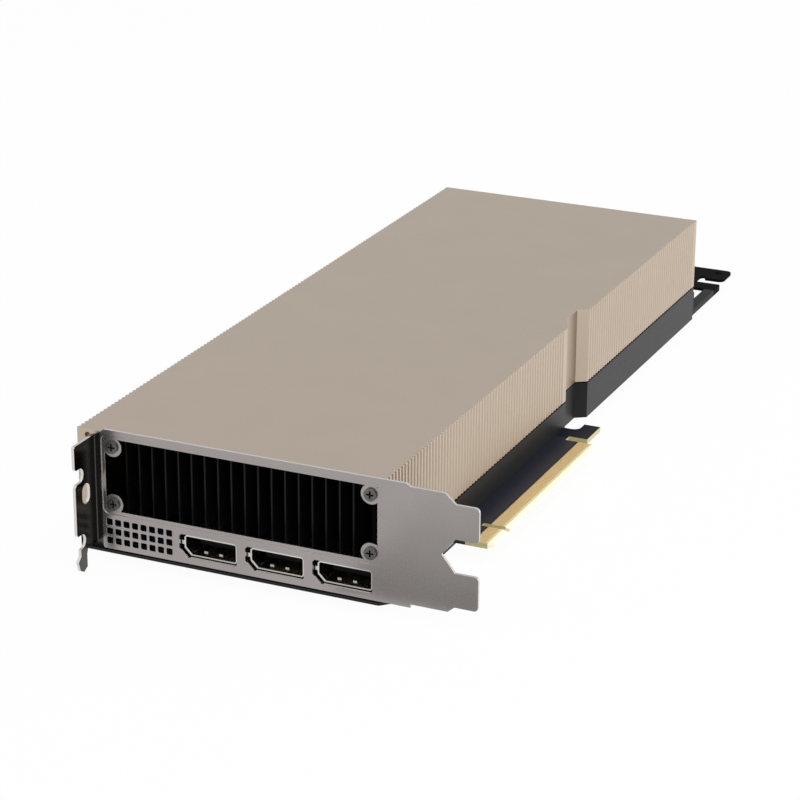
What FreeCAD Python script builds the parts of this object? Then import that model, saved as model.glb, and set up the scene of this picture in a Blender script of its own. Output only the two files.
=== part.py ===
"""Passive accelerator card: a dual-slot, full-height plug-in board with a finned heat sink.

Every sub-part is drawn in the bracket's own axes and then moved as one to the card's datum:
  X runs from the bracket's screw flange (0) to its tongues, Y from the bracket's front face (0)
  to the rear of the card, Z from the bracket's solder-side edge (0) up to the heat sink's cover.
The card's datum is the edge connector: its leading edge, the centre of its key notch and the
component side of the board.
"""
import FreeCAD, Part
import math
import os
import re

import Sketcher

os.makedirs("parts", exist_ok=True)
doc = FreeCAD.newDocument("accelerator_card")

# ---------------------------------------------------------------- driving dimensions, in mm

SIZES = {
    # card datums
    "edge_to_flange": 105.79,      # leading edge of the connector to the flange's outer face
    "key_to_face": 57.15,          # centre of the key notch to the bracket's front face
    "board_height": 2.1,           # bracket's solder-side edge to the board's component side
    "fit": 0.3,                    # clearance between neighbouring pieces
    "slack": 0.1,                  # clearance of a screw in its hole
    "overcut": 1.0,                # how far a cut reaches past the surface it starts from
    "root": 1.0,                   # how far a rib grows into the wall that carries it
    # bracket
    "sheet": 0.86,
    "bracket_length": 120.02,
    "bracket_width": 36.84,
    "body_length": 98.55,
    "step_length": 1.35,
    "step_low": 1.0,
    "step_high": 0.8,
    "shoulder_low": 2.0,
    "shoulder_high": 3.1,
    "tongue_length": 6.95,
    "tongue_width": 10.19,
    "tongue_height": 7.74,
    "tongue_round": 1.2,
    "slot_pitch": 20.32,
    "vee_depth": 4.05,
    "flange_reach": 11.2,
    "flange_low": 1.6,
    "flange_high": 34.74,
    "relief_length": 3.1,
    "relief_slope": 0.8,
    "fold_radius": 0.35,
    "flange_corner": 0.4,
    "notch_width": 4.42,
    "notch_depth": 4.7,
    "notch_height": 4.75,
    "notch_lead": 0.7,
    "oval_reach": 5.5,
    "oval_height": 18.55,
    "oval_width": 4.2,
    "oval_length": 6.2,
    "ear_front": 11.0,
    "ear_back": 6.1,
    "ear_drop": 4.9,
    "ear_tip": 1.0,
    "ear_neck": 1.6,
    "ear_root": 0.6,
    "window_left": 4.05,
    "window_right": 89.85,
    "window_low": 11.9,
    "window_high": 34.1,
    "border": 1.05,
    "border_depth": 0.25,
    "lug_radius": 3.0,
    "lug_left": 6.5,
    "lug_right": 87.7,
    "lug_low": 14.1,
    "lug_high": 31.65,
    "vent_left": 5.0,
    "vent_low": 2.65,
    "vent_pitch": 2.78,
    "vent_rise": 2.87,
    "vent_size": 2.0,
    "vent_corner": 0.25,
    "vent_columns": 8,
    "vent_rows": 3,
    "port_centre": 37.2,
    "port_pitch": 21.1,
    "port_left": 9.5,
    "port_right": 8.9,
    "port_low": 1.9,
    "port_high": 8.9,
    "port_chamfer": 2.5,
    "port_count": 3,
    "port_corner": 0.7,
    # screws
    "screw_radius": 1.0,
    "pan_radius": 1.9,
    "pan_height": 0.65,
    "drive_width": 0.55,
    "drive_length": 2.2,
    "drive_depth": 0.45,
    "drive_share": 0.7,            # part of a head's height that a hexagon drive takes up
    "screw_fill": 0.9,             # part of a blind hole that its screw fills
    # cover
    "card_left": 5.36,
    "card_right": 91.2,
    "card_front": 1.16,
    "card_rear": 266.7,
    "cover_low": 11.0,
    "cover_high": 35.58,
    "cover_roof": 1.3,
    "wall": 1.9,
    "flute_pitch": 2.12,
    "flute_mouth": 1.25,
    "flute_floor": 0.55,
    "flute_depth": 0.55,
    "flute_start": 1.59,
    "flute_end": 1.1,
    "recess_front": 140.0,
    "recess_rear": 157.4,
    "recess_lead": 8.5,
    "recess_slope": 2.35,
    "recess_depth": 3.4,
    "lip_length": 6.4,
    "lip_thick": 2.0,
    "lip_hole_x": 1.9,
    "lip_hole_height": 33.7,
    "lip_hole_radius": 0.95,
    "lip_hole_depth": 1.4,
    # frame
    "frame_wall": 2.4,
    "skirt_wall": 1.4,
    "shadow_depth": 0.9,
    "shadow_height": 0.5,
    "skirt_low": 1.5,
    "ledge_width": 2.6,
    "ledge_thick": 1.2,
    "ledge_front": 17.4,
    "ledge_rear": 240.0,
    "post_depth": 2.6,
    "post_hole": 2.0,
    "post_screw": 1.7,
    "post_plate": 1.8,
    "post_width": 2.7,
    "post_rib": 1.1,
    "post_right": 89.0,
    "post_high": 34.0,
    "post_boss": 1.9,
    "front_beam": 1.4,
    "front_left": 3.2,
    "front_right": 88.8,
    "front_low": 9.4,
    "tie_left": 1.2,
    "tie_right": 83.2,
    "tie_front": 24.0,
    "tie_middle": 147.0,
    "tie_rear": 232.0,
    "tie_boss": 2.6,
    "tie_depth": 3.0,
    "tie_head": 2.0,
    "tie_head_height": 0.6,
    # heat sink
    "plate_low": 6.6,
    "plate_high": 8.6,
    "plate_front": 17.0,
    "seat_gap": 0.5,
    "fin_count": 18,
    "fin_pitch": 4.25,
    "fin_thick": 0.5,
    "fin_front": 7.6,
    "fin_rear": 238.0,
    "fin_high": 34.0,
    "fin_centre": 42.92,
    "boss_width": 79.0,
    "boss_front": 60.0,
    "boss_rear": 142.0,
    # processor and its neighbours
    "chip_x": 43.0,
    "chip_y": 100.0,
    "carrier_size": 45.0,
    "carrier_thick": 1.5,
    "die_width": 25.0,
    "die_length": 26.0,
    "die_thick": 0.8,
    "memory_width": 12.0,
    "memory_length": 14.0,
    "memory_thick": 1.1,
    "memory_gap": 5.5,
    "memory_pitch": 14.6,
    "memory_shift": 8.0,
    "memory_row": 4,
    "pad_inset": 0.5,
    "choke_size": 7.0,
    "choke_height": 3.8,
    "choke_pitch": 9.0,
    "choke_count": 8,
    "bank_left": 11.5,
    "front_bank": 46.0,
    "rear_bank": 158.0,
    "stage_width": 5.0,
    "stage_length": 6.0,
    "stage_thick": 0.75,
    "stage_offset": 8.0,
    "capacitor_width": 4.3,
    "capacitor_length": 7.3,
    "capacitor_height": 2.8,
    "capacitor_offset": 15.5,
    # board
    "board_thick": 1.57,
    "board_left": 3.4,
    "board_gap": 0.4,
    "board_corner": 4.0,
    "shoulder_depth": 12.15,
    "tab_corner": 1.5,
    "tuck_start": 3.0,
    "tuck_end": 7.0,
    "key_width": 1.9,
    "key_depth": 8.25,
    "near_block": 11.65,
    "far_block": 71.65,
    "tab_slot": 3.25,
    "tab_slot_end": 10.4,
    "hook_setback": 4.3,
    "hook_foot": 5.4,
    "hook_leg": 6.4,
    "hook_length": 11.8,
    "hook_fillet": 2.4,
    "bevel_length": 1.5,
    "bevel_depth": 0.5,
    "contact_pitch": 1.0,
    "contact_width": 0.7,
    "contact_length": 5.2,
    "contact_thick": 0.05,
    "contact_setback": 0.1,
    "key_margin": 0.25,
    "near_contacts": 11,
    "far_contacts": 71,
    # backplate
    "backplate_thick": 0.9,
    "backplate_rim": 2.3,
    "backplate_front": 0.3,
    "backplate_right": 92.7,
    "backplate_corner": 2.6,
    "backplate_step": 6.0,
    "retainer_arm": 9.0,
    "retainer_span": 50.4,
    "retainer_thick": 0.5,
    "retainer_gap": 0.1,
    "stud_radius": 1.4,
    "stud_head": 2.4,
    "stud_reach": 4.0,
    # display sockets
    "shell_width": 16.9,
    "shell_height": 6.2,
    "shell_wall": 0.45,
    "shell_depth": 15.0,
    "shell_gap": 0.4,
    "spring_width": 1.2,
    "spring_length": 0.9,
    "spring_height": 0.35,
    "spring_offset": 2.4,
    "spring_shift": 0.6,
    "spring_front": 2.7,
    "shell_chamfer": 2.1,
    "finger_reach": 0.9,
    "finger_low": 3.2,
    "finger_height": 1.2,
    "tongue_block": 4.5,
    "blade_width": 11.4,
    "blade_thick": 1.7,
    "blade_front": 4.2,
    "pin_width": 0.35,
    "pin_pitch": 1.0,
    "pin_thick": 0.12,
    "pin_setback": 0.5,
    "pin_count": 10,
    # power socket
    "socket_left": 8.0,
    "socket_width": 18.8,
    "socket_height": 10.6,
    "socket_depth": 17.0,
    "socket_cell": 3.4,
    "socket_pitch": 4.2,
    "socket_wall": 1.3,
    "socket_floor": 2.6,
    "socket_columns": 4,
    "socket_rows": 2,
    "socket_pin": 1.1,
    "socket_pin_length": 9.0,
    # rear extender
    "extender_rear": 314.5,
    "extender_left": 34.0,
    "extender_middle": 58.0,
    "extender_screw_inset": 5.0,
    "extender_screw_height": 6.0,
    "extender_sheet": 1.0,
    "extender_rail": 3.7,
    "extender_lip": 1.2,
    "extender_slope": 12.0,
    "extender_taper": 18.0,
    "window_end": 24.3,
    "window_start": 5.0,
    "window_short": 6.0,
    "cross_bar": 6.9,
    "bar_corner": 0.4,
    "nook": 1.1,
    "arm_width": 11.4,
    "arm_slot_end": 8.6,
    "arm_hole_length": 3.0,
    "arm_hole_width": 1.5,
    "arm_hole_inset": 4.65,
    "arm_hole_setback": 4.1,
    "arm_setback": 0.6,
    "arm_corner": 2.2,
    "upright": 7.4,
}

sheet = doc.addObject("Spreadsheet::Sheet", "size")
for row, (word, number) in enumerate(SIZES.items(), start=1):
    sheet.set(f"A{row}", word)
    sheet.set(f"B{row}", str(number))
    sheet.setAlias(f"B{row}", word)
doc.recompute()


def cell(word):
    """Return the number that the sheet holds under this name."""
    return float(sheet.get(word))


def formula(text):
    """Turn a short formula in the sheet's names into one that the document understands."""
    return re.sub(r"\b[a-z]\w*\b(?!\()", lambda found: f"size.{found.group(0)}", text)


# Places that several pieces share, as formulas in the sheet's names
LEADING_EDGE = "edge_to_flange"
TAB_FRONT = "(key_to_face - key_width / 2 - near_block)"
TAB_REAR = "(key_to_face + key_width / 2 + far_block)"
HOOK_FRONT = f"({TAB_REAR} + tab_slot)"
HOOK_OUTER = "(edge_to_flange - hook_setback)"
BOARD_TOP = "board_height"
BOARD_LOW = "(board_height - board_thick)"
BASE_LOW = "(0 - skirt_low)"
INNER_LEFT = "(frame_wall - card_left)"
INNER_RIGHT = "(card_right - frame_wall)"

# ---------------------------------------------------------------- ways of drawing a piece

ARC_STEPS = 8          # sides of a drawn half circle
SAME = 0.01            # two points closer than this, in mm, are one
SIGN = {"XY_Plane": 1, "XZ_Plane": -1, "YZ_Plane": 1}
finished = []


def place(piece):
    """Move a piece from the bracket's axes to the card's datum."""
    piece.setExpression("Placement.Base.x", formula("0 - edge_to_flange"))
    piece.setExpression("Placement.Base.y", formula("0 - key_to_face"))
    piece.setExpression("Placement.Base.z", formula("0 - board_height"))


def finish(piece):
    """Place a sub-part and list it for export."""
    place(piece)
    finished.append(piece)
    return piece


def new_body(label):
    """Start a sub-part made of sketches and features."""
    body = doc.addObject("PartDesign::Body", label)
    body.Label = label
    body.AllowCompound = True
    return body


def origin_feature(body, role):
    """Return one of the body's own origin planes or axes."""
    return next(item for item in body.Origin.OriginFeatures if item.Role == role)


def new_sketch(body, plane, at):
    """Add a sketch on an origin plane of the body, moved along the plane's axis by a formula."""
    sketch = body.newObject("Sketcher::SketchObject", f"{body.Name}_sketch")
    sketch.AttachmentSupport = [(origin_feature(body, plane), "")]
    sketch.MapMode = "FlatFace"
    side = at if SIGN[plane] > 0 else f"0 - ({at})"
    sketch.setExpression("AttachmentOffset.Base.z", formula(side))
    return sketch


def bind(sketch, kind, *where, text):
    """Add one distance to a sketch and tie it to a formula."""
    index = sketch.addConstraint(Sketcher.Constraint(kind, *where, 1.0))
    sketch.setExpression(f"Constraints[{index}]", formula(text))


def pin_point(sketch, edge, end, across, up):
    """Hold the end of a sketch edge at two formulas, measured from the sketch's origin."""
    bind(sketch, "DistanceX", -1, 1, edge, end, text=across)
    bind(sketch, "DistanceY", -1, 1, edge, end, text=up)


def polygon(sketch, corners):
    """Draw a closed outline whose corners are pairs of formulas."""
    count = len(corners)
    first = sketch.GeometryCount
    ring = []
    for turn in range(count):
        angle = 2 * math.pi * turn / count
        ring.append(FreeCAD.Vector(math.cos(angle), math.sin(angle), 0))
    for turn in range(count):
        sketch.addGeometry(Part.LineSegment(ring[turn], ring[(turn + 1) % count]))
    for turn in range(count):
        following = first + (turn + 1) % count
        sketch.addConstraint(Sketcher.Constraint("Coincident", first + turn, 2, following, 1))
        pin_point(sketch, first + turn, 1, *corners[turn])


def rectangle(sketch, low_x, high_x, low_y, high_y):
    """Draw a rectangle from formulas for its four sides."""
    polygon(sketch, [(low_x, low_y), (high_x, low_y), (high_x, high_y), (low_x, high_y)])


def circle(sketch, across, up, radius):
    """Draw a circle from formulas for its centre and its radius."""
    edge = sketch.addGeometry(Part.Circle(FreeCAD.Vector(0, 0, 0), FreeCAD.Vector(0, 0, 1), 1.0))
    pin_point(sketch, edge, 3, across, up)
    index = sketch.addConstraint(Sketcher.Constraint("Radius", edge, 1.0))
    sketch.setExpression(f"Constraints[{index}]", formula(radius))


def pad(body, plane, at, thickness, draw):
    """Add material from a coordinate of the plane's axis, growing towards the axis's plus end."""
    sketch = new_sketch(body, plane, at)
    draw(sketch)
    feature = body.newObject("PartDesign::Pad", f"{body.Name}_pad")
    feature.Profile = sketch
    feature.setExpression("Length", formula(thickness))
    feature.Reversed = SIGN[plane] < 0
    body.Tip = feature
    doc.recompute()
    return feature


def pocket(body, plane, at, depth, draw):
    """Cut from a coordinate of the plane's axis, going towards the axis's plus end."""
    before = body.Shape.Volume
    sketch = new_sketch(body, plane, at)
    draw(sketch)
    feature = body.newObject("PartDesign::Pocket", f"{body.Name}_pocket")
    feature.Profile = sketch
    feature.setExpression("Length", formula(depth))
    feature.Reversed = SIGN[plane] > 0
    body.Tip = feature
    doc.recompute()
    if not body.Shape.Volume < before:
        raise RuntimeError(f"a pocket of {body.Label} removes nothing")
    return feature


def repeat(body, feature, axis, pitch, count):
    """Repeat a feature along one of the body's axes."""
    pattern = body.newObject("PartDesign::LinearPattern", f"{body.Name}_row")
    pattern.Originals = [feature]
    pattern.Direction = (origin_feature(body, axis), [""])
    pattern.setExpression("Length", formula(f"({pitch}) * (({count}) - 1)"))
    pattern.setExpression("Occurrences", formula(count))
    body.Tip = pattern
    doc.recompute()
    return pattern


def upright_edges(shape, axis, across, up):
    """Name the edges that run along an axis through a point of the plane square to it."""
    others = [index for index in range(3) if index != axis]
    names = []
    for number, edge in enumerate(shape.Edges, start=1):
        ends = [vertex.Point for vertex in edge.Vertexes]
        if len(ends) != 2:
            continue
        if all(abs(end[others[0]] - across) < SAME and abs(end[others[1]] - up) < SAME for end in ends):
            names.append(f"Edge{number}")
    return names


def round_edges(body, axis, points, radius):
    """Fillet the edges that run along an axis through the given points."""
    base = body.Tip
    shape = base.Shape
    names = [name for point in points for name in upright_edges(shape, axis, *point)]
    fillet = body.newObject("PartDesign::Fillet", f"{body.Name}_round")
    fillet.Base = (base, names)
    fillet.setExpression("Radius", formula(radius))
    body.Tip = fillet
    doc.recompute()
    return fillet


def box(label, low_x, high_x, low_y, high_y, low_z, high_z):
    """Make a plain block from formulas for its six sides."""
    block = doc.addObject("Part::Box", label)
    block.Label = label
    block.setExpression("Length", formula(f"({high_x}) - ({low_x})"))
    block.setExpression("Width", formula(f"({high_y}) - ({low_y})"))
    block.setExpression("Height", formula(f"({high_z}) - ({low_z})"))
    block.setExpression("Placement.Base.x", formula(low_x))
    block.setExpression("Placement.Base.y", formula(low_y))
    block.setExpression("Placement.Base.z", formula(low_z))
    return block


def rod(label, across, along, up, radius, length, axis="Z"):
    """Make a round bar from a formula for its foot, growing along Z or along Y."""
    bar = doc.addObject("Part::Cylinder", label)
    bar.Label = label
    bar.setExpression("Radius", formula(radius))
    bar.setExpression("Height", formula(length))
    if axis == "Y":
        bar.Placement.Rotation = FreeCAD.Rotation(FreeCAD.Vector(1, 0, 0), -90)
    bar.setExpression("Placement.Base.x", formula(across))
    bar.setExpression("Placement.Base.y", formula(along))
    bar.setExpression("Placement.Base.z", formula(up))
    return bar


def hexagon(label, across, along, up, radius, length):
    """Make a six-sided bar from a formula for its foot, growing along Z."""
    bar = doc.addObject("Part::Prism", label)
    bar.Label = label
    bar.Polygon = 6
    bar.setExpression("Circumradius", formula(radius))
    bar.setExpression("Height", formula(length))
    bar.setExpression("Placement.Base.x", formula(across))
    bar.setExpression("Placement.Base.y", formula(along))
    bar.setExpression("Placement.Base.z", formula(up))
    return bar


def group(label, members):
    """Gather separate solids of one kind into one sub-part."""
    gathered = doc.addObject("Part::Compound", label)
    gathered.Label = label
    gathered.Links = members
    return finish(gathered)


def fuse(label, members):
    """Join overlapping solids."""
    joined = doc.addObject("Part::MultiFuse", label)
    joined.Label = label
    joined.Shapes = members
    return joined


def cut(label, base, tool):
    """Take one solid out of another."""
    result = doc.addObject("Part::Cut", label)
    result.Label = label
    result.Base = base
    result.Tool = tool
    return result


# ---------------------------------------------------------------- outlines used more than once

def recessed_side(inset):
    """List the corners of the recess in the right-hand side, front to rear, moved inwards by a formula."""
    side = f"card_right - {inset}"
    deep = f"card_right - recess_depth - {inset}"
    lead = f"{inset} * tan(atan(recess_depth / recess_lead) / 2)"
    slope = f"{inset} * tan(atan(recess_depth / recess_slope) / 2)"
    return [
        (side, f"recess_front - {lead}"),
        (deep, f"recess_front + recess_lead - {lead}"),
        (deep, f"recess_rear + {slope}"),
        (side, f"recess_rear + recess_slope + {slope}"),
    ]


def card_outline(inset_left, inset_right, front, rear):
    """List the corners of the card seen from above, with the recess in its right-hand side."""
    left = f"{inset_left} - card_left"
    return [
        (left, front),
        (f"card_right - {inset_right}", front),
        *recessed_side(inset_right),
        (f"card_right - {inset_right}", rear),
        (left, rear),
    ]


# ---------------------------------------------------------------- bracket

def tongue(centre):
    """List the corners of one tongue, from its upper root round to its lower root."""
    root = "bracket_length - tongue_length"
    return [
        (root, f"{centre} + tongue_width / 2"),
        ("bracket_length", f"{centre} + tongue_width / 2"),
        ("bracket_length", f"{centre} - tongue_width / 2"),
        (root, f"{centre} - tongue_width / 2"),
    ]


def bracket_outline(sketch):
    """Draw the flat of the bracket: wide body, narrow neck, two tongues and the vee between."""
    root = "bracket_length - tongue_length"
    upper = "tongue_height + slot_pitch"
    polygon(sketch, [
        ("0", "flange_low"),
        ("relief_length - relief_slope", "flange_low"),
        ("relief_length", "0"),
        ("body_length + step_length", "0"),
        ("body_length + step_length", "step_low"),
        (f"{root} - shoulder_low", "step_low"),
        *tongue("tongue_height")[::-1],
        (f"{root} - vee_depth", "tongue_height + slot_pitch / 2"),
        *tongue(upper)[::-1],
        (f"{root} - shoulder_high", "bracket_width - step_high"),
        ("body_length + step_length", "bracket_width - step_high"),
        ("body_length", "bracket_width"),
        ("relief_length + relief_slope", "bracket_width"),
        ("relief_length", "bracket_width - relief_slope"),
        ("sheet", "flange_high"),
        ("0", "flange_high"),
    ])


def flange_outline(sketch):
    """Draw the folded flange with its two open screw notches and the ear under the lower one."""
    front = "0 - flange_reach"
    inner = "notch_depth - flange_reach"
    corners = [
        ("sheet", "flange_low"),
        ("ear_root - ear_back", "flange_low"),
        ("0 - ear_back", "0"),
        ("0 - ear_back", "ear_tip - ear_drop"),
        ("0 - ear_back - 2 * ear_tip", "0 - ear_drop"),
        ("ear_tip - ear_front", "ear_tip - ear_drop"),
        ("0 - ear_front", "0 - ear_tip"),
        ("ear_neck - ear_front", "ear_root"),
        ("ear_neck - ear_front", "notch_height - notch_width / 2"),
    ]
    for centre in ("notch_height", "(notch_height + slot_pitch)"):
        if centre != "notch_height":
            corners += [(front, f"{centre} - notch_width / 2 - notch_lead"),
                        (f"{front} + notch_lead", f"{centre} - notch_width / 2")]
        for step in range(ARC_STEPS + 1):
            angle = math.pi * (step / ARC_STEPS - 0.5)
            corners.append((f"{inner} - notch_width / 2 * {1 - math.cos(angle):.4f}",
                            f"{centre} + notch_width / 2 * {math.sin(angle):.4f}"))
        corners += [(f"{front} + notch_lead", f"{centre} + notch_width / 2"),
                    (front, f"{centre} + notch_width / 2 + notch_lead")]
    corners += [
        (front, "flange_high - flange_corner"),
        (f"{front} + flange_corner", "flange_high"),
        ("sheet", "flange_high"),
    ]
    polygon(sketch, corners)


def octagon(sketch, across, up, half, corner):
    """Draw a square with cut corners about a centre."""
    near = f"({half} - {corner})"
    polygon(sketch, [
        (f"{across} - {near}", f"{up} - {half}"),
        (f"{across} + {near}", f"{up} - {half}"),
        (f"{across} + {half}", f"{up} - {near}"),
        (f"{across} + {half}", f"{up} + {near}"),
        (f"{across} + {near}", f"{up} + {half}"),
        (f"{across} - {near}", f"{up} + {half}"),
        (f"{across} - {half}", f"{up} + {near}"),
        (f"{across} - {half}", f"{up} - {near}"),
    ])


def port_outline(sketch, left, right, low, high, chamfer, corner):
    """Draw a display socket's outline: a rounded slot with one large chamfer."""
    polygon(sketch, [
        (f"{left} + {chamfer}", low),
        (f"{right} - {corner}", low),
        (right, f"{low} + {corner}"),
        (right, f"{high} - {corner}"),
        (f"{right} - {corner}", high),
        (f"{left} + {corner}", high),
        (left, f"{high} - {corner}"),
        (left, f"{low} + {chamfer}"),
    ])


LUGS = [(across, up) for across in ("lug_left", "lug_right") for up in ("lug_low", "lug_high")]


def oval(sketch, across, up, width, length, lying=False):
    """Draw a slot with rounded ends, upright or lying."""
    half = f"{width} / 2"
    straight = f"({length} - {width}) / 2"
    corners = []
    for side, start in (("+", 0), ("-", math.pi)):
        for step in range(ARC_STEPS + 1):
            angle = start + math.pi * step / ARC_STEPS
            short = f"{half} * {math.cos(angle):.4f}"
            long = f"{side} {straight} + {half} * {math.sin(angle):.4f}"
            corners.append((f"{across} {long}", f"{up} - {short}") if lying
                           else (f"{across} + {short}", f"{up} {long}"))
    polygon(sketch, corners)


def make_bracket():
    """Fold one steel sheet into the bracket."""
    body = new_body("io_bracket")
    pad(body, "XZ_Plane", "0", "sheet", bracket_outline)
    pad(body, "YZ_Plane", "0", "sheet", flange_outline)
    round_edges(body, 2, [(0, cell("sheet"))], "fold_radius + sheet")
    round_edges(body, 2, [(cell("sheet"), 0)], "fold_radius")
    round_edges(body, 1, [
        (cell("bracket_length"), cell("tongue_height") + offset + side * cell("tongue_width") / 2)
        for offset in (0, cell("slot_pitch")) for side in (-1, 1)
    ], "tongue_round")
    pocket(body, "XZ_Plane", "0", "sheet", lambda sketch: rectangle(
        sketch, "window_left", "window_right", "window_low", "window_high"))

    pocket(body, "XZ_Plane", "0", "border_depth", lambda sketch: rectangle(
        sketch, "window_left - border", "window_right + border",
        "window_low - border", "window_high + border"))
    round_edges(body, 1, [
        (cell(across) + side * cell("border"), cell(up) + rise * cell("border"))
        for across, side in (("window_left", -1), ("window_right", 1))
        for up, rise in (("window_low", -1), ("window_high", 1))
    ], "lug_radius - border")

    def lug_discs(sketch):
        for across, up in LUGS:
            circle(sketch, across, up, "lug_radius")

    def lug_holes(sketch):
        for across, up in LUGS:
            circle(sketch, across, up, "screw_radius + slack")

    pad(body, "XZ_Plane", "border_depth", "sheet - border_depth", lug_discs)
    pocket(body, "XZ_Plane", "border_depth", "sheet - border_depth", lug_holes)

    def vent_column(sketch):
        for row in range(int(cell("vent_rows"))):
            octagon(sketch, "vent_left", f"vent_low + {row} * vent_rise", "vent_size / 2", "vent_corner")

    vents = pocket(body, "XZ_Plane", "0", "sheet", vent_column)
    repeat(body, vents, "X_Axis", "vent_pitch", "vent_columns")

    def ports(sketch):
        for number in range(int(cell("port_count"))):
            centre = f"(port_centre + {number} * port_pitch)"
            port_outline(sketch, f"{centre} - port_left", f"{centre} + port_right",
                         "port_low", "port_high", "port_chamfer", "port_corner")

    pocket(body, "XZ_Plane", "0", "sheet", ports)
    pocket(body, "YZ_Plane", "0", "sheet", lambda sketch: oval(
        sketch, "0 - oval_reach", "oval_height", "oval_width", "oval_length"))
    finish(body)


def pan_screw(label, across, along, up, length):
    """Make a pan-head cross-recess screw that is driven along +Y."""
    head = rod(f"{label}_head", across, f"{along} - pan_height", up, "pan_radius", "pan_height", "Y")
    shank = rod(f"{label}_shank", across, f"{along} - pan_height / 2", up, "screw_radius",
                f"{length} + pan_height / 2", "Y")
    screw = fuse(f"{label}_blank", [head, shank])
    slots = []
    for name, wide, tall in (("flat", "drive_length", "drive_width"),
                             ("upright", "drive_width", "drive_length")):
        slots.append(box(
            f"{label}_{name}",
            f"{across} - {wide} / 2", f"{across} + {wide} / 2",
            f"{along} - pan_height - overcut", f"{along} - pan_height + drive_depth",
            f"{up} - {tall} / 2", f"{up} + {tall} / 2"))
    return cut(label, screw, fuse(f"{label}_cross", slots))


def make_bracket_screws():
    """Make the four screws that hold the bracket to the frame's posts."""
    screws = []
    for number, (across, up) in enumerate(LUGS):
        screws.append(pan_screw(f"lug_screw_{number}", across, "border_depth", up,
                                "sheet - border_depth + post_screw"))
    group("bracket_screws", screws)


# ---------------------------------------------------------------- cover

def make_cover():
    """Make the gold cover: a roof and two fluted walls, open at both ends."""
    body = new_body("heatsink_cover")
    height = "cover_high - cover_low"
    pad(body, "XY_Plane", "cover_low", height, lambda sketch: polygon(
        sketch, card_outline("0", "0", "card_front", "card_rear")))
    pocket(body, "XY_Plane", "cover_low", f"{height} - cover_roof", lambda sketch: polygon(
        sketch, card_outline("wall", "wall", "card_front - overcut", "card_rear + overcut")))

    def lips(sketch):
        rectangle(sketch, "0 - card_left", "lip_length - card_left", "card_front", "card_front + lip_thick")

    pad(body, "XY_Plane", "cover_low", height, lips)
    pocket(body, "XZ_Plane", "card_front", "lip_hole_depth", lambda sketch: circle(
        sketch, "0 - lip_hole_x", "lip_hole_height", "lip_hole_radius"))
    side_flutes(body, "0 - card_left", 1, "card_front", "card_rear")
    side_flutes(body, "card_right", -1, "card_front", "recess_front")
    side_flutes(body, "card_right", -1, "recess_rear + recess_slope", "card_rear")
    finish(body)


def side_flutes(body, face, inwards, front, rear):
    """Cut a row of upright flutes, all of one pitch, into one stretch of a side wall."""
    first = f"{front} + flute_start"
    sign = "+" if inwards > 0 else "-"
    outside = "-" if inwards > 0 else "+"

    def groove(sketch):
        polygon(sketch, [
            (f"{face} {outside} overcut", f"{first} - flute_mouth / 2"),
            (face, f"{first} - flute_mouth / 2"),
            (f"{face} {sign} flute_depth", f"{first} - flute_floor / 2"),
            (f"{face} {sign} flute_depth", f"{first} + flute_floor / 2"),
            (face, f"{first} + flute_mouth / 2"),
            (f"{face} {outside} overcut", f"{first} + flute_mouth / 2"),
        ])

    one = pocket(body, "XY_Plane", "cover_low", "cover_high - cover_low", groove)
    repeat(body, one, "Y_Axis", "flute_pitch", f"floor(({rear} - ({front}) - flute_end) / flute_pitch)")


# ---------------------------------------------------------------- frame

DEEP = "(card_right - recess_depth)"
LEDGE_LEFT = f"({INNER_LEFT} + ledge_width)"
LEDGE_RIGHT = f"({DEEP} - frame_wall - ledge_width)"
TIE_ROWS = ["tie_front", "tie_middle", "tie_rear"]
TIES = [(across, along) for across in ("tie_left", "tie_right") for along in TIE_ROWS]


def skirt_outline(sketch):
    """Draw the skirt that hides the board's edge behind the hook, round the rear and up the left."""
    left = "0 - card_left"
    right = "card_right"
    inner = "card_right - skirt_wall"
    polygon(sketch, [
        *recessed_side("0"),
        (right, "card_rear"),
        (left, "card_rear"),
        (left, "card_front"),
        (f"{left} + skirt_wall", "card_front"),
        (f"{left} + skirt_wall", "card_rear - skirt_wall"),
        (inner, "card_rear - skirt_wall"),
        *recessed_side("skirt_wall")[:0:-1],
        (inner, "recess_front"),
    ])


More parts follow.
